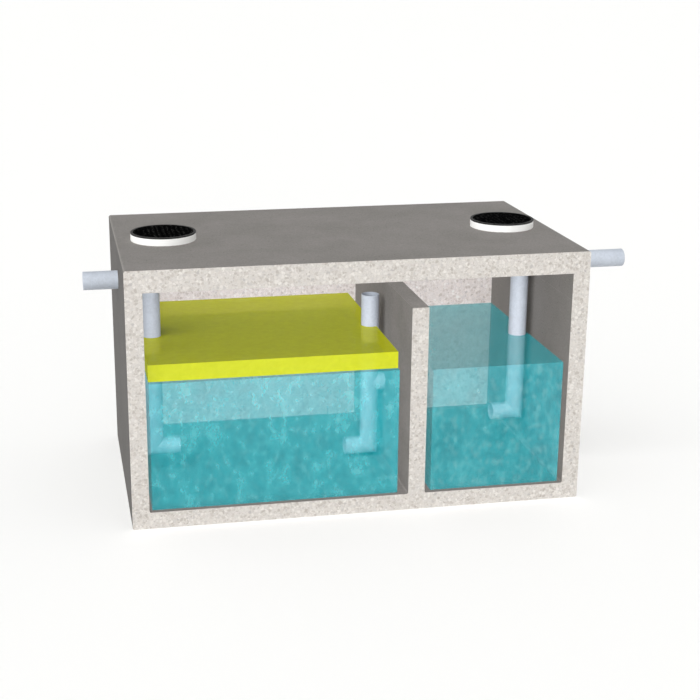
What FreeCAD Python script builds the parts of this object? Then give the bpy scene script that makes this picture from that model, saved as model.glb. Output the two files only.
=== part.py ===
import FreeCAD, Part
import math
import os

from FreeCAD import Placement, Rotation, Vector

# A two-chamber concrete grease trap, cut open along a plane in front so that its inside shows.
# X runs from the inlet end to the outlet end, Y from the section plane to the back, Z upwards.
# The origin is the centre of the tank's underside. All lengths are in millimetres.

# Tank: the room inside it, and the concrete round that room
first_chamber_length = 2342.0
second_chamber_length = 1314.0
inner_depth = 2215.0
inner_height = 1992.0
wall_thickness = 152.0
floor_thickness = 152.0
back_wall_thickness = 175.0
slab_thickness = 196.0
baffle_thickness = 152.0
baffle_gap = 244.0
edge_chamfer = 12.0
core_radius = 15.0

# Sealing strip between the walls and the slab
strip_width = 30.0
strip_height = 8.0

# Access openings: places on the slab, and the ring that stands round each one
access_inset = 438.0
access_setback = 1175.0
access_radius = 262.0
ring_bearing = 38.0
ring_height = 64.0
ring_wall = 12.0
ring_flange = 18.0
ring_spigot_wall = 11.0
ring_spigot_depth = 45.0
ring_play = 1.0
ring_rib_count = 12
ring_rib_thickness = 8.0
ring_seal_width = 18.0
ring_seal_height = 6.0
ring_edge = 3.0

# Cast frame that hangs in the ring, and the cover and gasket in it
frame_lip = 13.0
frame_wall = 9.0
frame_ledge = 12.0
frame_ledge_width = 40.0
frame_play = 1.0
frame_edge = 2.0
gasket_thickness = 4.0
gasket_width = 26.0
cover_thickness = 22.0
cover_play = 2.0
cover_edge = 1.5
cover_plate = 10.0
cover_rim = 18.0
cover_rib_depth = 24.0
cover_rib_thickness = 10.0
cover_rib_count = 8
stud_size = 24.0
stud_pitch = 44.0
stud_height = 3.0
pocket_length = 44.0
pocket_width = 16.0
pocket_depth = 20.0
pocket_wall = 8.0

# Pipework, of one pipe size throughout
pipe_radius = 84.15
pipe_wall = 7.1
pipe_bevel = 3.0
coupling_depth = 76.0
coupling_mark = 1.5
pipe_setback = 1016.0
pipe_headroom = 40.0
drop_offset = 138.0
inlet_stub = 313.0
outlet_stub = 736.0
tee_wall_gap = 24.0
tee_leg = 120.0
tee_headroom = 24.0
elbow_leg = 195.0
elbow_reach = 235.0
inlet_elbow_clearance = 153.0
transfer_elbow_clearance = 27.0
outlet_elbow_clearance = 288.0
riser_headroom = 373.0
crossover_depth = 1239.0
crossover_overhang = 60.0
spigot_length = 45.0
spigot_wall = 6.0
spigot_root = 15.0

# Compression seals where a pipe passes through concrete
seal_thickness = 12.0
seal_recess = 5.0
seal_groove_depth = 5.0
seal_lobe_width = 12.0
seal_lobe_count = 4

# Liquids: the air over each chamber, and the gaps left to the concrete round them
first_air_height = 670.0
grease_thickness = 153.0
grease_setback = 62.0
second_air_height = 836.0
liquid_gap_front = 52.0
first_liquid_gap_back = 8.0
second_liquid_gap_back = 70.0
liquid_gap_end = 30.0
first_gap_baffle = 90.0
second_gap_baffle = 68.0

# Clearance between pieces that nest in or round each other
seat_clearance = 0.3

# Faces and axes that the pieces share
chambers_length = first_chamber_length + baffle_thickness + second_chamber_length
right = chambers_length / 2 + wall_thickness
left = -right
back = (inner_depth + back_wall_thickness) / 2
front = -back
ceiling = floor_thickness + inner_height
tank_top = ceiling + slab_thickness
inner_left = left + wall_thickness
inner_right = right - wall_thickness
inner_back = back - back_wall_thickness
baffle_left = inner_left + first_chamber_length
baffle_right = baffle_left + baffle_thickness
baffle_top = ceiling - baffle_gap

access_y = front + access_setback
inlet_access_x = left + access_inset
outlet_access_x = right - access_inset
ring_radius = access_radius + ring_bearing
ring_spigot_radius = access_radius - ring_play
ring_bore_radius = ring_spigot_radius - ring_spigot_wall
ring_top = tank_top + ring_height
cover_top = ring_top + frame_lip
frame_pocket_radius = ring_radius - ring_wall - frame_play - frame_wall
frame_opening_radius = frame_pocket_radius - frame_ledge_width
cover_bottom = cover_top - cover_thickness
ledge_top = cover_bottom - gasket_thickness
ledge_bottom = ledge_top - frame_ledge
cover_radius = frame_pocket_radius - cover_play

bore_radius = pipe_radius - pipe_wall
pipe_y = front + pipe_setback
pipe_level = ceiling - pipe_headroom - pipe_radius
inlet_x = inner_left + drop_offset
transfer_x = baffle_left - drop_offset
outlet_x = inner_right - drop_offset
tee_reach = drop_offset - tee_wall_gap
open_tee_top = ceiling - tee_headroom
riser_top = ceiling - riser_headroom
crossover_level = ceiling - crossover_depth
inlet_elbow_level = floor_thickness + inlet_elbow_clearance + pipe_radius
transfer_elbow_level = floor_thickness + transfer_elbow_clearance + pipe_radius
outlet_elbow_level = floor_thickness + outlet_elbow_clearance + pipe_radius
seal_hole_radius = pipe_radius + seal_thickness

grease_top = ceiling - first_air_height
first_water_top = grease_top - grease_thickness
second_water_top = ceiling - second_air_height
liquid_front = front + liquid_gap_front
first_liquid_back = inner_back - first_liquid_gap_back
second_liquid_back = inner_back - second_liquid_gap_back

LEFT = Vector(-1, 0, 0)
RIGHT = Vector(1, 0, 0)
UP = Vector(0, 0, 1)
DOWN = Vector(0, 0, -1)


def block(x0, x1, y0, y1, z0, z1):
    """A box between two corners."""
    return Part.makeBox(x1 - x0, y1 - y0, z1 - z0, Vector(x0, y0, z0))


def extruded(points, travel):
    """A closed outline of points, pushed along a vector."""
    return Part.Face(Part.makePolygon(points + points[:1])).extrude(travel)


def turned(profile, base, direction):
    """A closed outline of (radius, height) points, turned about a line through base."""
    points = [Vector(radius, 0, height) for radius, height in profile]
    face = Part.Face(Part.makePolygon(points + points[:1]))
    solid = face.revolve(Vector(0, 0, 0), UP, 360)
    solid.Placement = Placement(base, Rotation(UP, direction))
    return solid


def rod(radius, base, direction, length):
    """A plain round bar."""
    return Part.makeCylinder(radius, length, base, direction)


def edges_where(shape, test):
    """The straight edges of a shape whose two ends both pass a test."""
    straight = [edge for edge in shape.Edges if len(edge.Vertexes) == 2]
    return [edge for edge in straight if all(test(vertex.Point) for vertex in edge.Vertexes)]


def near(first, second):
    """Whether two lengths are the same."""
    return math.isclose(first, second, abs_tol=1e-4)


def on_outer_wall(point):
    """Whether a point is on the left, right or back face of the tank."""
    return near(abs(point.x), right) or near(point.y, back)


def on_back_corner(point):
    """Whether a point is on one of the tank's two upright back corners."""
    return near(abs(point.x), right) and near(point.y, back)


def outer_edges(shape, level):
    """The edges of one level round the left, right and back, and the two back corners."""
    rim = edges_where(shape, lambda p: near(p.z, level) and on_outer_wall(p))
    rim = [edge for edge in rim if not near(edge.CenterOfMass.y, front)]
    return rim + edges_where(shape, on_back_corner)


def inner_corners(core):
    """The core's edges against the back wall, and those that run back along the floor."""
    at_back = edges_where(core, lambda p: near(p.y, inner_back))
    at_back = [edge for edge in at_back if edge.CenterOfMass.z < baffle_top - core_radius]
    at_floor = edges_where(core, lambda p: near(p.z, floor_thickness))
    return at_back + [edge for edge in at_floor if near(edge.Vertexes[0].X, edge.Vertexes[1].X)]


def strip(clearance):
    """The sealing strip's three runs in the wall tops, or its groove at no clearance."""
    half = strip_width / 2 - clearance
    left_line = left + wall_thickness / 2
    right_line = right - wall_thickness / 2
    back_line = back - back_wall_thickness / 2
    low = ceiling - strip_height
    run_left = block(left_line - half, left_line + half, front, back_line + half, low, ceiling)
    run_right = block(right_line - half, right_line + half, front, back_line + half, low, ceiling)
    run_back = block(left_line, right_line, back_line - half, back_line + half, low, ceiling)
    return run_left.fuse([run_right, run_back]).removeSplitter()


def tank_body():
    """Floor, three walls and the baffle in one casting, open to the front and the top."""
    shell = block(left, right, front, back, 0, ceiling)
    shell = shell.makeChamfer(edge_chamfer, outer_edges(shell, 0))
    outline = [
        Vector(inner_left, front, ceiling),
        Vector(inner_left, front, floor_thickness),
        Vector(baffle_left, front, floor_thickness),
        Vector(baffle_left, front, baffle_top),
        Vector(baffle_right, front, baffle_top),
        Vector(baffle_right, front, floor_thickness),
        Vector(inner_right, front, floor_thickness),
        Vector(inner_right, front, ceiling),
    ]
    core = extruded(outline, Vector(0, inner_back - front, 0))
    core = core.makeFillet(core_radius, inner_corners(core))
    holes = [
        rod(seal_hole_radius, Vector(left, pipe_y, pipe_level), RIGHT, wall_thickness),
        rod(seal_hole_radius, Vector(inner_right, pipe_y, pipe_level), RIGHT, wall_thickness),
        rod(seal_hole_radius, Vector(baffle_left, pipe_y, crossover_level), RIGHT, baffle_thickness),
    ]
    return shell.cut([core, strip(0)] + holes)


def top_slab():
    """The cover slab, with a round access opening over each end."""
    slab = block(left, right, front, back, ceiling, tank_top)
    slab = slab.makeChamfer(edge_chamfer, outer_edges(slab, tank_top))
    openings = [
        rod(access_radius, Vector(x, access_y, ceiling), UP, slab_thickness)
        for x in (inlet_access_x, outlet_access_x)
    ]
    return slab.cut(openings)


def ring_seal_radii():
    """Inner and outer radius of the seal under a riser ring, midway between opening and rim."""
    middle = (access_radius + ring_radius) / 2
    return middle - ring_seal_width / 2, middle + ring_seal_width / 2


def riser_ring(x):
    """A moulded ring: spigot in the opening, flange on the slab, ribbed wall up to the frame."""
    seal_inner, seal_outer = ring_seal_radii()
    wall_inner = ring_radius - ring_wall
    profile = [
        (ring_bore_radius, -ring_spigot_depth),
        (ring_spigot_radius, -ring_spigot_depth),
        (ring_spigot_radius, 0),
        (seal_inner, 0),
        (seal_inner, ring_seal_height),
        (seal_outer, ring_seal_height),
        (seal_outer, 0),
        (ring_radius - ring_edge, 0),
        (ring_radius, ring_edge),
        (ring_radius, ring_height - ring_edge),
        (ring_radius - ring_edge, ring_height),
        (wall_inner, ring_height),
        (wall_inner, ring_flange),
        (ring_bore_radius, ring_flange),
    ]
    base = Vector(x, access_y, tank_top)
    ring = turned(profile, base, UP)
    rib_low = ring_flange / 2
    rib_top = ledge_bottom - tank_top - frame_play
    rib_outer = wall_inner + ring_wall / 2
    rib_outline = [
        Vector(ring_bore_radius, 0, rib_low),
        Vector(rib_outer, 0, rib_low),
        Vector(rib_outer, 0, rib_top),
        Vector(wall_inner - ring_wall, 0, rib_top),
        Vector(ring_bore_radius, 0, ring_flange),
    ]
    rib = extruded(rib_outline, Vector(0, ring_rib_thickness, 0))
    rib.translate(Vector(0, -ring_rib_thickness / 2, 0))
    ribs = []
    for index in range(ring_rib_count):
        copy = rib.copy()
        copy.Placement = Placement(base, Rotation(UP, index * 360 / ring_rib_count)).multiply(rib.Placement)
        ribs.append(copy)
    return ring.fuse(ribs).removeSplitter()


def ring_seal(x):
    """The flat seal in the groove under a riser ring."""
    inner, outer = ring_seal_radii()
    profile = [
        (inner + seat_clearance, 0),
        (outer - seat_clearance, 0),
        (outer - seat_clearance, ring_seal_height),
        (inner + seat_clearance, ring_seal_height),
    ]
    return turned(profile, Vector(x, access_y, tank_top), UP)


def cover_frame(x):
    """The cast frame: a lip on the ring's top, a pocket wall and a ledge for the cover."""
    ring_level = ring_top - ledge_bottom
    profile = [
        (frame_opening_radius, 0),
        (frame_pocket_radius + frame_wall, 0),
        (frame_pocket_radius + frame_wall, ring_level),
        (ring_radius, ring_level),
        (ring_radius, ring_level + frame_lip - frame_edge),
        (ring_radius - frame_edge, ring_level + frame_lip),
        (frame_pocket_radius, ring_level + frame_lip),
        (frame_pocket_radius, frame_ledge),
        (frame_opening_radius, frame_ledge),
    ]
    return turned(profile, Vector(x, access_y, ledge_bottom), UP)


def cover_gasket(x):
    """The flat ring of rubber on the frame's ledge."""
    outer = cover_radius
    profile = [
        (outer - gasket_width, 0),
        (outer, 0),
        (outer, gasket_thickness),
        (outer - gasket_width, gasket_thickness),
    ]
    return turned(profile, Vector(x, access_y, ledge_top), UP)


def stud_places(field_radius, pocket_x):
    """Grid places where a whole tread stud fits in the cover's field, clear of the pick pockets."""
    count = math.ceil(field_radius / stud_pitch)
    reach = stud_size / 2
    for column in range(-count, count + 1):
        for row in range(-count, count + 1):
            x = column * stud_pitch
            y = row * stud_pitch
            corner = math.hypot(abs(x) + reach, abs(y) + reach)
            beside_pocket = abs(y) > reach + pocket_width
            before_pocket = abs(abs(x) - pocket_x) > reach + pocket_length / 2 + pocket_wall
            if corner < field_radius and (beside_pocket or before_pocket):
                yield x, y


def centred_block(x, length, width, low, high):
    """A box with its middle at x, 0 in plan."""
    return block(x - length / 2, x + length / 2, -width / 2, width / 2, low, high)


def cover(x):
    """The cast cover: rim, square tread studs, closed pick pockets, and ribs underneath."""
    field_radius = cover_radius - cover_rim
    rib_radius = frame_opening_radius - cover_play
    rib_end = rib_radius - cover_rim
    field_level = cover_thickness - stud_height
    plate_low = field_level - cover_plate
    pocket_x = rib_end - pocket_length / 2
    profile = [
        (0, plate_low),
        (rib_end, plate_low),
        (rib_radius, 0),
        (cover_radius, 0),
        (cover_radius, cover_thickness - cover_edge),
        (cover_radius - cover_edge, cover_thickness),
        (field_radius, cover_thickness),
        (field_radius, field_level),
        (0, field_level),
    ]
    body = turned(profile, Vector(0, 0, 0), UP)
    sunk = field_level - cover_plate / 2
    added = []
    for stud_x, stud_y in stud_places(field_radius, pocket_x):
        stud = centred_block(stud_x, stud_size, stud_size, sunk, cover_thickness)
        stud.translate(Vector(0, stud_y, 0))
        added.append(stud)
    for index in range(cover_rib_count // 2):
        rib = centred_block(0, 2 * rib_end, cover_rib_thickness, plate_low - cover_rib_depth, sunk)
        rib.rotate(Vector(0, 0, 0), UP, (index + 0.5) * 360 / cover_rib_count)
        added.append(rib)
    pockets = []
    for middle in (-pocket_x, pocket_x):
        low = field_level - pocket_depth
        length = pocket_length + 2 * pocket_wall
        width = pocket_width + 2 * pocket_wall
        added.append(centred_block(middle, length, width, low - pocket_wall, sunk))
        pockets.append(centred_block(middle, pocket_length, pocket_width, low, cover_thickness))
    body = body.fuse(added).cut(pockets).removeSplitter()
    body.translate(Vector(x, access_y, cover_bottom))
    return body


def pipe(start, direction, length, bevelled):
    """A length of pipe, with its far end bevelled if that end is open to view."""
    bevel = pipe_bevel if bevelled else 0
    profile = [
        (bore_radius, 0),
        (pipe_radius, 0),
        (pipe_radius, length - bevel),
        (pipe_radius - bevel, length),
        (bore_radius, length),
    ]
    if not bevelled:
        del profile[3]
    return turned(profile, start, direction)


def marked_pipe(start, direction, length):
    """A bevelled pipe with a shallow groove that shows how far a coupling goes on."""
    middle = length - coupling_depth
    groove = [
        (pipe_radius - coupling_mark, middle),
        (pipe_radius + coupling_mark, middle - 2 * coupling_mark),
        (pipe_radius + coupling_mark, middle + 2 * coupling_mark),
    ]
    return pipe(start, direction, length, True).cut(turned(groove, start, direction))


def leg_outside(centre, direction, length, jointed):
    """The outside of one leg of a fitting, with its spigot beyond the shoulder if it has one."""
    parts = rod(pipe_radius, centre, direction, length)
    if jointed:
        shoulder = centre + direction * (length - spigot_root)
        spigot = rod(bore_radius - seat_clearance, shoulder, direction, spigot_root + spigot_length)
        parts = parts.fuse(spigot)
    return parts


def leg_inside(centre, direction, length, jointed):
    """The hollow of one leg of a fitting, narrower through its spigot."""
    if not jointed:
        return rod(bore_radius, centre, direction, length)
    wide = rod(bore_radius, centre, direction, length - spigot_root)
    narrow_radius = bore_radius - seat_clearance - spigot_wall
    narrow = rod(narrow_radius, centre, direction, length + spigot_length)
    return wide.fuse(narrow)


def tee(centre, up_leg, up_jointed, branch):
    """A straight-sided tee: an upright run and a level branch."""
    legs = [
        (UP, up_leg, up_jointed),
        (DOWN, tee_leg, True),
        (branch, tee_reach, True),
    ]
    outside = [leg_outside(centre, *leg) for leg in legs]
    inside = [leg_inside(centre, *leg) for leg in legs]
    body = outside[0].fuse(outside[1:]).cut(inside)
    return body.removeSplitter()


def half_space(centre, normal, size):
    """A large block on one side of the plane through centre, for cutting a mitre."""
    solid = block(0, size, -size, size, -size, size)
    solid.Placement = Placement(centre, Rotation(RIGHT, normal))
    return solid


def mitred(centre, outlet, radius, upright, level):
    """Two round bars, one upwards and one level, that meet on a 45 degree plane."""
    size = 2 * (upright + level + radius)
    bars = []
    for along, other, length in ((UP, outlet, upright), (outlet, UP, level)):
        bar = rod(radius, centre - along * (2 * radius), along, length + 2 * radius)
        bars.append(bar.common(half_space(centre, along - other, size)))
    return bars[0].fuse(bars[1])


def elbow(centre, outlet):
    """A mitred elbow under a drop pipe, with a spigot at its top and an open level mouth."""
    outside = mitred(centre, outlet, pipe_radius, elbow_leg, elbow_reach)
    inside = mitred(centre, outlet, bore_radius, elbow_leg - spigot_root, elbow_reach)
    shoulder = centre + UP * (elbow_leg - spigot_root)
    spigot_run = spigot_root + spigot_length
    spigot_radius = bore_radius - seat_clearance
    spigot = rod(spigot_radius, shoulder, UP, spigot_run)
    narrow = rod(spigot_radius - spigot_wall, shoulder, UP, spigot_run)
    return outside.fuse(spigot).cut([inside, narrow]).removeSplitter()


def wall_seal(start, length):
    """A compression seal round a pipe, with lobes that press on it between shallow grooves."""
    inner = pipe_radius + seat_clearance
    outer = seal_hole_radius - seat_clearance
    groove = inner + seal_groove_depth
    run = length - 2 * seal_recess
    pitch = (run - seal_lobe_width) / (seal_lobe_count - 1)
    profile = [(outer, 0), (outer, run)]
    for index in reversed(range(seal_lobe_count)):
        low = index * pitch
        profile += [(inner, low + seal_lobe_width), (inner, low)]
        if index > 0:
            profile += [(groove, low), (groove, low - pitch + seal_lobe_width)]
    return turned(profile, start + RIGHT * seal_recess, RIGHT)


def upright_void(x, low, high):
    """The room that an upright run of pipe takes up in a liquid."""
    return rod(pipe_radius + seat_clearance, Vector(x, pipe_y, low), UP, high - low)


def elbow_void(x, level, outlet):
    """The room that an elbow takes up in a liquid."""
    reach = elbow_reach + seat_clearance
    return mitred(Vector(x, pipe_y, level), outlet, pipe_radius + seat_clearance, elbow_leg, reach)


def first_chamber_liquids():
    """The water of the first chamber and, set further back, the grease that floats on it."""
    x0 = inner_left + liquid_gap_end
    x1 = baffle_left - first_gap_baffle
    branch_radius = pipe_radius + seat_clearance
    tee_centre = Vector(transfer_x, pipe_y, crossover_level)
    voids = [
        upright_void(inlet_x, inlet_elbow_level + elbow_leg, grease_top),
        elbow_void(inlet_x, inlet_elbow_level, RIGHT),
        upright_void(transfer_x, transfer_elbow_level + elbow_leg, grease_top),
        elbow_void(transfer_x, transfer_elbow_level, LEFT),
        rod(branch_radius, tee_centre, RIGHT, tee_reach),
    ]
    grease_front = liquid_front + grease_setback
    water = block(x0, x1, liquid_front, first_liquid_back, floor_thickness, first_water_top)
    grease = block(x0, x1, grease_front, first_liquid_back, first_water_top, grease_top)
    return water.cut(voids), grease.cut(voids)


def second_chamber_water():
    """The clearer water round the outlet's drop pipe."""
    x0 = baffle_right + second_gap_baffle
    x1 = inner_right - liquid_gap_end
    voids = [
        upright_void(outlet_x, outlet_elbow_level + elbow_leg, second_water_top),
        elbow_void(outlet_x, outlet_elbow_level, LEFT),
    ]
    water = block(x0, x1, liquid_front, second_liquid_back, floor_thickness, second_water_top)
    return water.cut(voids)


def access_pieces(name, x):
    """Everything that stands over one access opening."""
    return {
        name + "_riser_ring": riser_ring(x),
        name + "_ring_seal": ring_seal(x),
        name + "_cover_frame": cover_frame(x),
        name + "_cover_gasket": cover_gasket(x),
        name + "_cover": cover(x),
    }


def end_pipework(name, x, elbow_level, outward, wall_face, stub, mouth):
    """The pipe through an end wall, and the tee, drop pipe and elbow that hang from it."""
    axis = Vector(x, pipe_y, pipe_level)
    low = Vector(x, pipe_y, elbow_level)
    shoulder = axis + outward * tee_reach
    outer_end = Vector(wall_face, pipe_y, pipe_level) + outward * stub
    drop_start = low + UP * elbow_leg
    drop_length = pipe_level - tee_leg - drop_start.z
    return {
        name + "_pipe": marked_pipe(shoulder, outward, (outer_end - shoulder).Length),
        name + "_tee": tee(axis, open_tee_top - pipe_level, False, outward),
        name + "_drop_pipe": pipe(drop_start, UP, drop_length, False),
        name + "_elbow": elbow(low, mouth),
    }


def transfer_pipework():
    """The upright beside the baffle: riser, tee, drop pipe, elbow, and the pipe across it."""
    axis = Vector(transfer_x, pipe_y, crossover_level)
    low = Vector(transfer_x, pipe_y, transfer_elbow_level)
    riser_start = axis + UP * tee_leg
    drop_start = low + UP * elbow_leg
    crossing = axis + RIGHT * tee_reach
    crossing_length = baffle_right + crossover_overhang - crossing.x
    return {
        "transfer_riser": pipe(riser_start, UP, riser_top - riser_start.z, True),
        "transfer_tee": tee(axis, tee_leg, True, RIGHT),
        "transfer_drop_pipe": pipe(drop_start, UP, axis.z - tee_leg - drop_start.z, False),
        "transfer_elbow": elbow(low, LEFT),
        "crossover_pipe": pipe(crossing, RIGHT, crossing_length, True),
    }


def all_pieces():
    """Every piece of the trap by name."""
    water, grease = first_chamber_liquids()
    pieces = {
        "tank_body": tank_body(),
        "top_slab": top_slab(),
        "slab_joint_strip": strip(seat_clearance),
        "inlet_wall_seal": wall_seal(Vector(left, pipe_y, pipe_level), wall_thickness),
        "outlet_wall_seal": wall_seal(Vector(inner_right, pipe_y, pipe_level), wall_thickness),
        "baffle_seal": wall_seal(Vector(baffle_left, pipe_y, crossover_level), baffle_thickness),
        "first_chamber_water": water,
        "grease_layer": grease,
        "second_chamber_water": second_chamber_water(),
    }
    pieces.update(access_pieces("inlet", inlet_access_x))
    pieces.update(access_pieces("outlet", outlet_access_x))
    pieces.update(end_pipework("inlet", inlet_x, inlet_elbow_level, LEFT, left, inlet_stub, RIGHT))
    pieces.update(end_pipework("outlet", outlet_x, outlet_elbow_level, RIGHT, right, outlet_stub, LEFT))
    pieces.update(transfer_pipework())
    return pieces


os.makedirs("parts", exist_ok=True)
for name, shape in all_pieces().items():
    shape.exportStep("parts/" + name + ".step")
    print(name, "solids", len(shape.Solids), "valid", shape.isValid(), "volume", round(shape.Volume))
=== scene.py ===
import math

import bpy
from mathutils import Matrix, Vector


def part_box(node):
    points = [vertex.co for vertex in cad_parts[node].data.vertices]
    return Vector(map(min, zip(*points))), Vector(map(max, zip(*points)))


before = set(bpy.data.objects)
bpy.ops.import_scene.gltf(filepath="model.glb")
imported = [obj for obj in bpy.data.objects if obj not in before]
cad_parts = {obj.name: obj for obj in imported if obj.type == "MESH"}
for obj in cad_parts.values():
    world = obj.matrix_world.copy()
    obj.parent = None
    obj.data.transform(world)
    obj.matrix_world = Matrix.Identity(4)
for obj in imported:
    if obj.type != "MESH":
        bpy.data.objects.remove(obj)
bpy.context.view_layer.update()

bpy.ops.object.select_all(action="DESELECT")


# TANK BODY AND TOP SLAB
# Two precast concrete castings, the slab set on the walls. One saw cut opens both along the front,
# and shows pale mortar full of stones. The outside is a grey cast skin with a few air pores.

# The back wall's thickness, and how far the baffle's top lies below the wall tops
back_wall = 0.175
baffle_gap = 0.244
tank_low, tank_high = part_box("tank_body")
inner_back = tank_high.y - back_wall
baffle_top = tank_high.z - baffle_gap
# A point this near a plane lies on it, and a face whose normal has this share along an axis faces it
plane_depth = 0.001
square_on = 0.9


def linear(code):
    """The linear colour of an sRGB hex value, as the shaders take it."""
    shares = [int(code[start:start + 2], 16) / 255 for start in (1, 3, 5)]
    return [s / 12.92 if s <= 0.04045 else ((s + 0.055) / 1.055) ** 2.4 for s in shares] + [1.0]


def add_node(tree, kind, settings=None, links=None):
    """Adds a node. Settings are its properties, ramp stops or values, and links feed its sockets."""
    node = tree.nodes.new("ShaderNode" + kind)
    for name, value in (settings or {}).items():
        if name == "stops":
            while len(node.color_ramp.elements) < len(value):
                node.color_ramp.elements.new(1.0)
            for element, (position, shade) in zip(node.color_ramp.elements, value):
                element.position = position
                element.color = linear(shade) if isinstance(shade, str) else [shade] * 3 + [1.0]
        elif isinstance(name, int) or name in node.inputs:
            node.inputs[name].default_value = value
        else:
            setattr(node, name, value)
    for name, source in (links or {}).items():
        tree.links.new(source, node.inputs[name])
    return node


def new_material(name):
    """A material with an empty node tree, and that tree."""
    material = bpy.data.materials.new(name)
    material.use_nodes = True
    material.node_tree.nodes.clear()
    return material, material.node_tree


def dress(names, material):
    """Gives CAD nodes their finish."""
    for name in names:
        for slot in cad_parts[name].material_slots:
            slot.material = material


# Precast concrete. The saw cut is flat and pale, with stones of 10 to 30 mm in cream, grey and
# pinkish brown. The cast skin is a dull taupe with slow clouds, grain and pores. Sand and grain
# are finer than 4 mm on the real face, and are drawn 7 and 16 mm wide so that they show.
stone_width = 0.028
stone_wander = 0.008
stone_share = 0.6
stone_edge = [(0.05, 0.0), (0.16, 1.0)]
stone_tones = [
    (0.0, "#aaa49d"), (0.3, "#b9b3ad"), (0.55, "#c7c2bc"), (0.8, "#d2cec9"), (1.0, "#aca8a5")
]
grit_width = 0.012
grit_share = 0.28
sand_width = 0.007
mortar_tones = [(0.3, "#b6b1ac"), (0.7, "#cbc7c2")]
cloud_width = 0.45
skin_tones = [(0.3, "#83807c"), (0.7, "#8e8a87")]
grain_width = 0.016
grain_depth = [(0.3, 0.72), (0.7, 1.0)]
pore_spacing = 0.070
pore_edge = [(0.05, 1.0), (0.08, 0.0)]
pore_tone = "#4b4845"
concrete_relief = 0.0015

concrete, tree = new_material("precast_concrete")
place = add_node(tree, "TexCoord")
at = place.outputs["Object"]
across = add_node(tree, "SeparateXYZ", links={0: at})
facing = add_node(tree, "SeparateXYZ", links={0: place.outputs["Normal"]})

# The pale faces: the saw cut, and the inner face of the back wall, which is pale by painted light
at_cut = add_node(
    tree, "Math", {"operation": "LESS_THAN", 1: tank_low.y + plane_depth}, {0: across.outputs["Y"]}
)
at_back = add_node(
    tree, "Math", {"operation": "COMPARE", 1: inner_back, 2: plane_depth}, {0: across.outputs["Y"]}
)
to_front = add_node(tree, "Math", {"operation": "ABSOLUTE"}, {0: facing.outputs["Y"]})
flat_on = add_node(tree, "Math", {"operation": "GREATER_THAN", 1: square_on}, {0: to_front.outputs[0]})
painted_pale_back_wall = add_node(
    tree, "Math", {"operation": "MULTIPLY"}, {0: at_back.outputs[0], 1: flat_on.outputs[0]}
)
pale = add_node(tree, "Math", {"operation": "MAXIMUM"}, {0: at_cut.outputs[0], 1: painted_pale_back_wall.outputs[0]})

# Stones and grit in mortar
wander = add_node(tree, "TexNoise", {"Scale": 1 / stone_width, "Detail": 3.0}, {"Vector": at})
uneven = add_node(
    tree, "VectorMath", {"operation": "MULTIPLY_ADD", 1: [stone_wander] * 3},
    {0: wander.outputs["Color"], 2: at},
)
stones = add_node(tree, "TexVoronoi", {"Scale": 1 / stone_width}, {"Vector": uneven.outputs[0]})
stone_edges = add_node(
    tree, "TexVoronoi", {"feature": "DISTANCE_TO_EDGE", "Scale": 1 / stone_width},
    {"Vector": uneven.outputs[0]},
)
chance = add_node(tree, "SeparateColor", links={0: stones.outputs["Color"]})
stone_colour = add_node(tree, "ValToRGB", {"stops": stone_tones}, {"Fac": chance.outputs[0]})
is_stone = add_node(
    tree, "Math", {"operation": "GREATER_THAN", 1: 1 - stone_share}, {0: chance.outputs[1]}
)
inside_stone = add_node(
    tree, "ValToRGB", {"stops": stone_edge}, {"Fac": stone_edges.outputs["Distance"]}
)
stone_mask = add_node(
    tree, "Math", {"operation": "MULTIPLY"}, {0: is_stone.outputs[0], 1: inside_stone.outputs[0]}
)
sand = add_node(tree, "TexNoise", {"Scale": 1 / sand_width, "Detail": 3.0}, {"Vector": at})
mortar = add_node(tree, "ValToRGB", {"stops": mortar_tones}, {"Fac": sand.outputs["Fac"]})
grit = add_node(tree, "TexVoronoi", {"Scale": 1 / grit_width}, {"Vector": uneven.outputs[0]})
grit_chance = add_node(tree, "SeparateColor", links={0: grit.outputs["Color"]})
grit_mask = add_node(
    tree, "Math", {"operation": "GREATER_THAN", 1: 1 - grit_share}, {0: grit_chance.outputs[1]}
)
grit_colour = add_node(tree, "ValToRGB", {"stops": stone_tones}, {"Fac": grit_chance.outputs[0]})
gritty = add_node(
    tree, "MixRGB",
    links={"Fac": grit_mask.outputs[0], "Color1": mortar.outputs[0], "Color2": grit_colour.outputs[0]},
)
cut_colour = add_node(
    tree, "MixRGB",
    links={"Fac": stone_mask.outputs[0], "Color1": gritty.outputs[0], "Color2": stone_colour.outputs[0]},
)

# The cast skin
clouds = add_node(
    tree, "TexNoise", {"Scale": 1 / cloud_width, "Detail": 6.0, "Roughness": 0.6}, {"Vector": at}
)
skin = add_node(tree, "ValToRGB", {"stops": skin_tones}, {"Fac": clouds.outputs["Fac"]})
grain = add_node(
    tree, "TexNoise", {"Scale": 1 / grain_width, "Detail": 4.0, "Roughness": 0.65}, {"Vector": at}
)
grain_shade = add_node(tree, "ValToRGB", {"stops": grain_depth}, {"Fac": grain.outputs["Fac"]})
grainy = add_node(
    tree, "MixRGB", {"blend_type": "MULTIPLY", "Fac": 1.0},
    {"Color1": skin.outputs[0], "Color2": grain_shade.outputs[0]},
)
pores = add_node(tree, "TexVoronoi", {"Scale": 1 / pore_spacing}, {"Vector": at})
pore_shape = add_node(tree, "ValToRGB", {"stops": pore_edge}, {"Fac": pores.outputs["Distance"]})
cast_colour = add_node(
    tree, "MixRGB", {"Color2": linear(pore_tone)},
    {"Fac": pore_shape.outputs[0], "Color1": grainy.outputs[0]},
)

# The inlet end's outer face is darkened with painted shade, and the baffle's top is lightened with
# painted light. The back wall's inner face is given the saw cut's pale, stony pattern, and is lifted
# with painted light to stay pale in the shade of the chambers.
inlet_end_painted_shade = 0.45
baffle_top_painted_light = 1.35
back_wall_painted_light = (1.63, 1.60, 1.66, 1.0)

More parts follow.
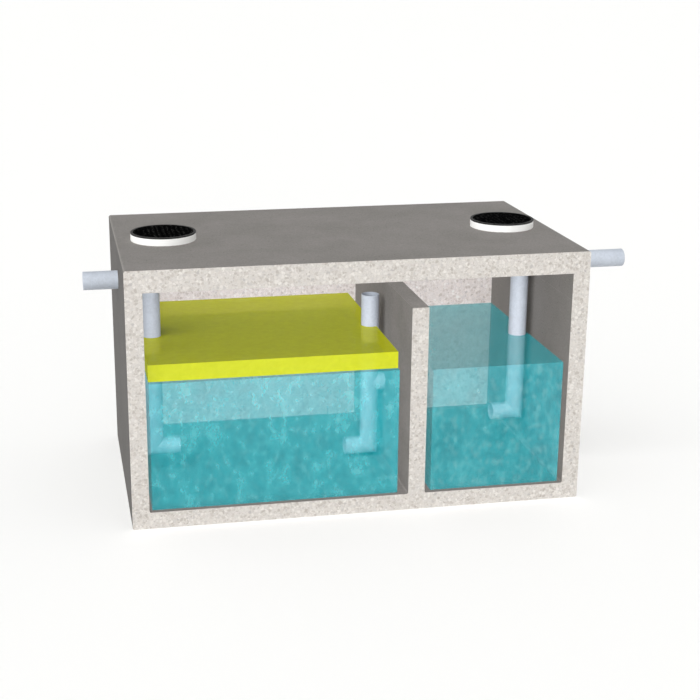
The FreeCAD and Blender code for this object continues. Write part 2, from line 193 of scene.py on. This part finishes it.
inlet_end = add_node(
    tree, "Math", {"operation": "LESS_THAN", 1: tank_low.x + plane_depth}, {0: across.outputs["X"]}
)
on_baffle = add_node(
    tree, "Math", {"operation": "COMPARE", 1: baffle_top, 2: plane_depth}, {0: across.outputs["Z"]}
)
painted_end_shade = add_node(
    tree, "MapRange", {"To Min": 1.0, "To Max": inlet_end_painted_shade}, {"Value": inlet_end.outputs[0]}
)
painted_baffle_light = add_node(
    tree, "MapRange", {"To Min": 1.0, "To Max": baffle_top_painted_light}, {"Value": on_baffle.outputs[0]}
)
# Painted shade on the inlet end and painted light on the baffle's top scale the cast skin
painted_light_share = add_node(
    tree, "Math", {"operation": "MULTIPLY"}, {0: painted_end_shade.outputs[0], 1: painted_baffle_light.outputs[0]}
)
skin_colour = add_node(
    tree, "VectorMath", {"operation": "SCALE"}, {0: cast_colour.outputs[0], "Scale": painted_light_share.outputs[0]}
)
# The back wall's inner face takes the cut's pattern, lifted brighter with painted light
pale_colour = add_node(
    tree, "MixRGB", {"blend_type": "MULTIPLY", "use_clamp": True, "Color2": back_wall_painted_light},
    {"Fac": painted_pale_back_wall.outputs[0], "Color1": cut_colour.outputs[0]},
)
colour = add_node(
    tree, "MixRGB",
    links={"Fac": pale.outputs[0], "Color1": skin_colour.outputs[0], "Color2": pale_colour.outputs[0]},
)
skin_height = add_node(
    tree, "Math", {"operation": "SUBTRACT"}, {0: grain.outputs["Fac"], 1: pore_shape.outputs[0]}
)
height = add_node(
    tree, "MixRGB",
    links={"Fac": pale.outputs[0], "Color1": skin_height.outputs[0], "Color2": stone_mask.outputs[0]},
)
relief = add_node(
    tree, "Bump", {"Strength": 0.5, "Distance": concrete_relief}, {"Height": height.outputs[0]}
)
surface = add_node(
    tree, "BsdfPrincipled", {"Roughness": 0.85, "Specular IOR Level": 0.3},
    {"Base Color": colour.outputs[0], "Normal": relief.outputs[0]},
)
add_node(tree, "OutputMaterial", links={"Surface": surface.outputs[0]})
dress(["tank_body", "top_slab"], concrete)


# SLAB JOINT STRIP
# A run of butyl sealant in a groove in the wall tops, squeezed flat by the slab. It is pale grey
# and dull, and the saw has smeared concrete dust over its cut ends.

sealant, tree = new_material("butyl_sealant")
at = add_node(tree, "TexCoord").outputs["Object"]
dust = add_node(tree, "TexNoise", {"Scale": 1 / grain_width, "Detail": 3.0}, {"Vector": at})
colour = add_node(
    tree, "ValToRGB", {"stops": [(0.3, "#b4afa9"), (0.7, "#cac5bf")]}, {"Fac": dust.outputs["Fac"]}
)
surface = add_node(tree, "BsdfPrincipled", {"Roughness": 0.8}, {"Base Color": colour.outputs[0]})
add_node(tree, "OutputMaterial", links={"Surface": surface.outputs[0]})
dress(["slab_joint_strip"], sealant)


# WALL SEALS
# Moulded rubber seals, pressed into the holes that the pipes pass through. They are matt, and
# cement dust has turned the rubber the colour of the concrete round it.

seal_rubber, tree = new_material("dusty_seal_rubber")
at = add_node(tree, "TexCoord").outputs["Object"]
dust = add_node(tree, "TexNoise", {"Scale": 1 / grain_width, "Detail": 4.0}, {"Vector": at})
colour = add_node(
    tree, "ValToRGB", {"stops": [(0.3, "#5c5a58"), (0.7, "#777471")]}, {"Fac": dust.outputs["Fac"]}
)
surface = add_node(tree, "BsdfPrincipled", {"Roughness": 0.75}, {"Base Color": colour.outputs[0]})
add_node(tree, "OutputMaterial", links={"Surface": surface.outputs[0]})
dress(["inlet_wall_seal", "outlet_wall_seal", "baffle_seal"], seal_rubber)


# PIPES AND FITTINGS
# Extruded PVC pipes and moulded PVC tees and elbows, pushed together at spigots. They are a pale
# bluish grey with a satin skin, faintly clouded and scuffed from handling.

pipes_and_fittings = [
    "inlet_pipe", "inlet_tee", "inlet_drop_pipe", "inlet_elbow",
    "transfer_riser", "transfer_tee", "transfer_drop_pipe", "transfer_elbow", "crossover_pipe",
    "outlet_pipe", "outlet_tee", "outlet_drop_pipe", "outlet_elbow",
]

# Extruded PVC. The peel left by the die is finer than 1 mm, and is drawn 4 mm wide so that it shows.
scuff_width = 0.030
peel_width = 0.004
peel_depth = 0.0002
pvc, tree = new_material("extruded_pvc")
at = add_node(tree, "TexCoord").outputs["Object"]
cloud = add_node(tree, "TexNoise", {"Scale": 1 / cloud_width, "Detail": 4.0}, {"Vector": at})
colour = add_node(
    tree, "ValToRGB", {"stops": [(0.3, "#b2b9c4"), (0.7, "#bfc6d0")]}, {"Fac": cloud.outputs["Fac"]}
)
scuffs = add_node(
    tree, "TexNoise", {"Scale": 1 / scuff_width, "Detail": 6.0, "Distortion": 1.2}, {"Vector": at}
)
scuff_shade = add_node(
    tree, "ValToRGB", {"stops": [(0.35, 0.9), (0.6, 1.0)]}, {"Fac": scuffs.outputs["Fac"]}
)
scuffed = add_node(
    tree, "MixRGB", {"blend_type": "MULTIPLY", "Fac": 1.0},
    {"Color1": colour.outputs[0], "Color2": scuff_shade.outputs[0]},
)
sheen = add_node(tree, "ValToRGB", {"stops": [(0.35, 0.5), (0.65, 0.34)]}, {"Fac": scuffs.outputs["Fac"]})
peel = add_node(tree, "TexNoise", {"Scale": 1 / peel_width, "Detail": 1.0}, {"Vector": at})
relief = add_node(
    tree, "Bump", {"Strength": 0.3, "Distance": peel_depth}, {"Height": peel.outputs["Fac"]}
)
surface = add_node(
    tree, "BsdfPrincipled", {"IOR": 1.53},
    {"Base Color": scuffed.outputs[0], "Roughness": sheen.outputs[0], "Normal": relief.outputs[0]},
)
add_node(tree, "OutputMaterial", links={"Surface": surface.outputs[0]})
dress(pipes_and_fittings, pvc)


# RISER RINGS
# Injection moulded polyethylene rings, white, with a spigot in the slab's opening. They have a
# satin skin, and dust lies on the foot of each ring, next to the slab.

ring_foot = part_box("top_slab")[1].z
dust_height = 0.014
polyethylene, tree = new_material("moulded_polyethylene")
at = add_node(tree, "TexCoord").outputs["Object"]
across = add_node(tree, "SeparateXYZ", links={0: at})
above = add_node(
    tree, "MapRange", {"From Min": ring_foot, "From Max": ring_foot + dust_height},
    {"Value": across.outputs["Z"]},
)
dust = add_node(tree, "TexNoise", {"Scale": 1 / scuff_width, "Detail": 4.0}, {"Vector": at})
clean = add_node(
    tree, "Math", {"operation": "ADD", "use_clamp": True}, {0: above.outputs[0], 1: dust.outputs["Fac"]}
)
colour = add_node(
    tree, "ValToRGB", {"stops": [(0.3, "#cfccc5"), (0.9, "#f9f9f7")]}, {"Fac": clean.outputs[0]}
)
peel = add_node(tree, "TexNoise", {"Scale": 1 / peel_width, "Detail": 1.0}, {"Vector": at})
relief = add_node(
    tree, "Bump", {"Strength": 0.3, "Distance": peel_depth}, {"Height": peel.outputs["Fac"]}
)
surface = add_node(
    tree, "BsdfPrincipled", {"Roughness": 0.42},
    {"Base Color": colour.outputs[0], "Normal": relief.outputs[0]},
)
add_node(tree, "OutputMaterial", links={"Surface": surface.outputs[0]})
dress(["inlet_riser_ring", "outlet_riser_ring"], polyethylene)


# RING SEALS AND GASKETS
# Flat rings of black nitrile rubber, one under each riser ring and one under each cover.
# They are cut from sheet and stay matt.

nitrile, tree = new_material("nitrile_rubber")
at = add_node(tree, "TexCoord").outputs["Object"]
grain = add_node(tree, "TexNoise", {"Scale": 1 / grain_width, "Detail": 3.0}, {"Vector": at})
colour = add_node(
    tree, "ValToRGB", {"stops": [(0.3, "#1c1c1d"), (0.7, "#2e2e2f")]}, {"Fac": grain.outputs["Fac"]}
)
surface = add_node(tree, "BsdfPrincipled", {"Roughness": 0.8}, {"Base Color": colour.outputs[0]})
add_node(tree, "OutputMaterial", links={"Surface": surface.outputs[0]})
dress(["inlet_ring_seal", "outlet_ring_seal", "inlet_cover_gasket", "outlet_cover_gasket"], nitrile)


# COVER FRAMES
# Sand-cast grey iron frames that hang in the riser rings. The lip on top is worn to bare
# dark grey metal. The cast grain is about 1 mm, and is drawn 5 mm wide so that it shows.

cast_grain = 0.005
grain_relief = 0.0006
frame_iron, tree = new_material("worn_cast_iron")
at = add_node(tree, "TexCoord").outputs["Object"]
grain = add_node(tree, "TexNoise", {"Scale": 1 / cast_grain, "Detail": 4.0}, {"Vector": at})
colour = add_node(
    tree, "ValToRGB", {"stops": [(0.3, "#1d1d1d"), (0.7, "#343433")]}, {"Fac": grain.outputs["Fac"]}
)
relief = add_node(
    tree, "Bump", {"Strength": 0.6, "Distance": grain_relief}, {"Height": grain.outputs["Fac"]}
)
surface = add_node(
    tree, "BsdfPrincipled", {"Roughness": 0.6, "Metallic": 0.5},
    {"Base Color": colour.outputs[0], "Normal": relief.outputs[0]},
)
add_node(tree, "OutputMaterial", links={"Surface": surface.outputs[0]})
dress(["inlet_cover_frame", "outlet_cover_frame"], frame_iron)


# COVERS
# Sand-cast iron covers, dipped in black bitumen. They lie loose in the frames. The dip is deep
# black and dead matt, and has worn through in specks on the tops of the tread studs.

cover_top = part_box("inlet_cover")[1].z
stud_skin = 0.0005
wear_width = 0.012
bitumen, tree = new_material("bitumen_dipped_iron")
at = add_node(tree, "TexCoord").outputs["Object"]
across = add_node(tree, "SeparateXYZ", links={0: at})
on_stud = add_node(
    tree, "Math", {"operation": "GREATER_THAN", 1: cover_top - stud_skin}, {0: across.outputs["Z"]}
)
wear = add_node(tree, "TexNoise", {"Scale": 1 / wear_width, "Detail": 5.0}, {"Vector": at})
worn = add_node(tree, "ValToRGB", {"stops": [(0.56, 0.0), (0.64, 1.0)]}, {"Fac": wear.outputs["Fac"]})
worn_stud = add_node(
    tree, "Math", {"operation": "MULTIPLY"}, {0: on_stud.outputs[0], 1: worn.outputs[0]}
)
grain = add_node(tree, "TexNoise", {"Scale": 1 / cast_grain, "Detail": 4.0}, {"Vector": at})
dip = add_node(
    tree, "ValToRGB", {"stops": [(0.3, "#030303"), (0.7, "#09090a")]}, {"Fac": grain.outputs["Fac"]}
)
colour = add_node(
    tree, "MixRGB", {"Color2": linear("#4a4a48")}, {"Fac": worn_stud.outputs[0], "Color1": dip.outputs[0]}
)
relief = add_node(
    tree, "Bump", {"Strength": 0.6, "Distance": grain_relief}, {"Height": grain.outputs["Fac"]}
)
surface = add_node(
    tree, "BsdfPrincipled", {"Roughness": 0.9, "Specular IOR Level": 0.0},
    {"Base Color": colour.outputs[0], "Normal": relief.outputs[0]},
)
add_node(tree, "OutputMaterial", links={"Surface": surface.outputs[0]})
dress(["inlet_cover", "outlet_cover"], bitumen)


# WATER
# Waste water stands in both chambers, about 0.6 m below the outlet pipe. It is a see-through teal
# with pale patches and flecks of painted caustic light, murky in the first chamber and clearer in
# the second. Its top faces are a duller, darker teal as painted shade.

patch_width = 0.18
fleck_width = 0.06
upright_stretch = 0.7
# The pale stops and the flecks below are painted caustic light over the water's own teal
water_tones = [(0.30, "#0095a3"), (0.50, "#04b3c0"), (0.70, "#5cd8e2")]
fleck_strength = [(0.50, 0.0), (0.80, 0.6)]
# The top faces' tone, a duller and darker teal that is painted shade, and how much they hide
water_top_painted_shade = "#209aa1"
water_top_density = 0.55
liquid_shrink = 0.0005


def settle_liquid(name):
    """Draws a liquid's skin in, off what it lies against, and lets it shade and tint no wall."""
    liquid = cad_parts[name]
    skin = liquid.modifiers.new("skin", "DISPLACE")
    skin.strength = -liquid_shrink
    skin.mid_level = 0.0
    liquid.visible_shadow = False
    liquid.visible_diffuse = False


# For each chamber: the material's name, the node, how much the water hides, and the flecks' tone
for name, chamber, murk, fleck_tone in (
    ("murky_water", "first_chamber_water", 0.44, "#88e6ee"),
    ("settled_water", "second_chamber_water", 0.40, "#a8eaec"),
):
    water, tree = new_material(name)
    place = add_node(tree, "TexCoord")
    hanging = add_node(
        tree, "Mapping", {"Scale": (1.0, 1.0, upright_stretch)}, {"Vector": place.outputs["Object"]}
    )
    patches = add_node(
        tree, "TexNoise", {"Scale": 1 / patch_width, "Detail": 7.0, "Roughness": 0.75},
        {"Vector": hanging.outputs[0]},
    )
    patchy = add_node(tree, "ValToRGB", {"stops": water_tones}, {"Fac": patches.outputs["Fac"]})
    specks = add_node(
        tree, "TexNoise", {"Scale": 1 / fleck_width, "Detail": 3.0}, {"Vector": hanging.outputs[0]}
    )
    flecks = add_node(tree, "ValToRGB", {"stops": fleck_strength}, {"Fac": specks.outputs["Fac"]})
    water_with_caustics = add_node(
        tree, "MixRGB", {"Color2": linear(fleck_tone)},
        {"Fac": flecks.outputs[0], "Color1": patchy.outputs[0]},
    )
    # Faces looking up take the darker tone as painted shade
    facing = add_node(tree, "SeparateXYZ", links={0: place.outputs["Normal"]})
    on_top = add_node(
        tree, "Math", {"operation": "GREATER_THAN", 1: square_on}, {0: facing.outputs["Z"]}
    )
    colour = add_node(
        tree, "MixRGB", {"Color2": linear(water_top_painted_shade)},
        {"Fac": on_top.outputs[0], "Color1": water_with_caustics.outputs[0]},
    )
    density = add_node(
        tree, "MapRange", {"To Min": murk, "To Max": water_top_density}, {"Value": on_top.outputs[0]}
    )
    surface = add_node(
        tree, "BsdfPrincipled", {"Roughness": 0.15, "IOR": 1.33, "Specular IOR Level": 0.05},
        {"Base Color": colour.outputs[0], "Alpha": density.outputs[0]},
    )
    add_node(tree, "OutputMaterial", links={"Surface": surface.outputs[0]})
    dress([chamber], water)
    settle_liquid(chamber)


# GREASE LAYER
# Fats, oils and grease float on the first chamber's water as one thick layer. It is a dense
# yellow green that lets little light through, faintly curdled, with its top duller and darker by painted
# shade.

curd_width = 0.06
curd_depth = 0.001
grease, tree = new_material("floating_grease")
place = add_node(tree, "TexCoord")
curds = add_node(
    tree, "TexNoise", {"Scale": 1 / curd_width, "Detail": 5.0, "Distortion": 0.6},
    {"Vector": place.outputs["Object"]},
)
facing = add_node(tree, "SeparateXYZ", links={0: place.outputs["Normal"]})
on_top = add_node(tree, "Math", {"operation": "GREATER_THAN", 1: square_on}, {0: facing.outputs["Z"]})
grease_body_colour = add_node(
    tree, "ValToRGB", {"stops": [(0.3, "#ced41a"), (0.7, "#d8dd22")]}, {"Fac": curds.outputs["Fac"]}
)
# The top's duller, darker yellow is painted shade
grease_top_painted_shade = add_node(
    tree, "ValToRGB", {"stops": [(0.3, "#a4a606"), (0.7, "#aeb00a")]}, {"Fac": curds.outputs["Fac"]}
)
colour = add_node(
    tree, "MixRGB",
    links={"Fac": on_top.outputs[0], "Color1": grease_body_colour.outputs[0], "Color2": grease_top_painted_shade.outputs[0]},
)
relief = add_node(
    tree, "Bump", {"Strength": 0.2, "Distance": curd_depth}, {"Height": curds.outputs["Fac"]}
)
surface = add_node(
    tree, "BsdfPrincipled", {"Roughness": 0.6, "IOR": 1.46, "Specular IOR Level": 0.05, "Alpha": 0.74},
    {"Base Color": colour.outputs[0], "Normal": relief.outputs[0]},
)
add_node(tree, "OutputMaterial", links={"Surface": surface.outputs[0]})
dress(["grease_layer"], grease)
settle_liquid("grease_layer")


# STUDIO
# A plain pale floor under the tank, and a pale surround that glows most near the horizon. Soft
# lamps come from the viewer's side, from above, and into the open chambers.

floor_width = 400.0
floor_gap = 0.001
studio_tone = "#fbfbfa"

bpy.ops.mesh.primitive_plane_add(size=floor_width, location=(0, 0, tank_low.z - floor_gap))
floor = bpy.context.object
floor.name = "studio_floor"
floor_paint, tree = new_material("floor_paint")
surface = add_node(
    tree, "BsdfPrincipled",
    {"Base Color": linear(studio_tone), "Roughness": 0.9, "Specular IOR Level": 0.1},
)
add_node(tree, "OutputMaterial", links={"Surface": surface.outputs[0]})
floor.data.materials.append(floor_paint)

# How high the glow begins to fade and where it has faded, as the sine of the angle upwards
glow_level = 0.25
dim_level = 0.5
glow_strength = 0.98
dim_strength = 0.32

surround = bpy.data.worlds.new("studio_surround")
surround.use_nodes = True
tree = surround.node_tree
tree.nodes.clear()
direction = add_node(tree, "TexCoord")
level = add_node(tree, "SeparateXYZ", links={0: direction.outputs["Generated"]})
glow = add_node(
    tree, "MapRange",
    {"From Min": glow_level, "From Max": dim_level, "To Min": glow_strength, "To Max": dim_strength},
    {"Value": level.outputs["Z"]},
)
backdrop = add_node(
    tree, "Background", {"Color": linear(studio_tone)}, {"Strength": glow.outputs[0]}
)
add_node(tree, "OutputWorld", links={"Surface": backdrop.outputs[0]})
bpy.context.scene.world = surround


def add_lamp(name, coming_from, strength, width):
    """Adds a far lamp. Its width is how wide it looks from the tank, in degrees."""
    bpy.ops.object.light_add(type="SUN")
    lamp = bpy.context.object
    lamp.name = name
    lamp.data.energy = strength
    lamp.data.angle = math.radians(width)
    lamp.rotation_euler = Vector(coming_from).to_track_quat("Z", "Y").to_euler()
    return lamp


add_lamp("viewer_light", (-0.04, -1.0, 0.05), 0.42, 20.0)
add_lamp("overhead_light", (0.1, -0.15, 1.0), 0.1, 60.0)

# The chamber light passes through the concrete and the covers, which cast no shadow from it, as if
# the tank stood open above
chamber_light = add_lamp("chamber_light", (-0.74, -0.70, 0.95), 2.8, 65.0)
roof = bpy.data.collections.new("roof_of_the_chambers")
for name in ("tank_body", "top_slab", "slab_joint_strip"):
    roof.objects.link(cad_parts[name])
for end in ("inlet_", "outlet_"):
    for piece in ("riser_ring", "ring_seal", "cover_frame", "cover_gasket", "cover"):
        roof.objects.link(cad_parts[end + piece])
for link in roof.collection_objects:
    link.light_linking.link_state = "EXCLUDE"
chamber_light.light_linking.blocker_collection = roof

# The fill light falls on the pipes and fittings in the chambers alone, and is faintly blue
fill_tint = (0.95, 0.95, 1.0)
fill_light = add_lamp("fill_light", (-0.1, -1.0, 0.3), 1.9, 60.0)
fill_light.data.color = fill_tint
chamber_pipes = bpy.data.collections.new("pieces_in_the_chambers")
for name in pipes_and_fittings:
    if name not in ("inlet_pipe", "outlet_pipe"):
        chamber_pipes.objects.link(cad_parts[name])
fill_light.light_linking.receiver_collection = chamber_pipes


# CAMERA
# The picture's own viewpoint: from the left, above the slab, looking a little to the right and
# down, with a longish lens and upright edges that lean only by perspective.

picture_width = 700
picture_centre = (300.03, 338.21)
focal_pixels = 1376.31
film_width = 36.0
eye = Vector((-2.629, -12.395, 5.080))
gaze = Vector((0.1740, 0.9424, -0.2860))

bpy.ops.object.camera_add(location=eye, rotation=gaze.to_track_quat("-Z", "Y").to_euler())
camera = bpy.context.object
camera.data.sensor_width = film_width
camera.data.lens = film_width * focal_pixels / picture_width
camera.data.shift_x = 0.5 - picture_centre[0] / picture_width
camera.data.shift_y = picture_centre[1] / picture_width - 0.5
camera.data.clip_end = 2 * floor_width
bpy.context.scene.camera = camera
bpy.context.scene.view_settings.view_transform = "Standard"
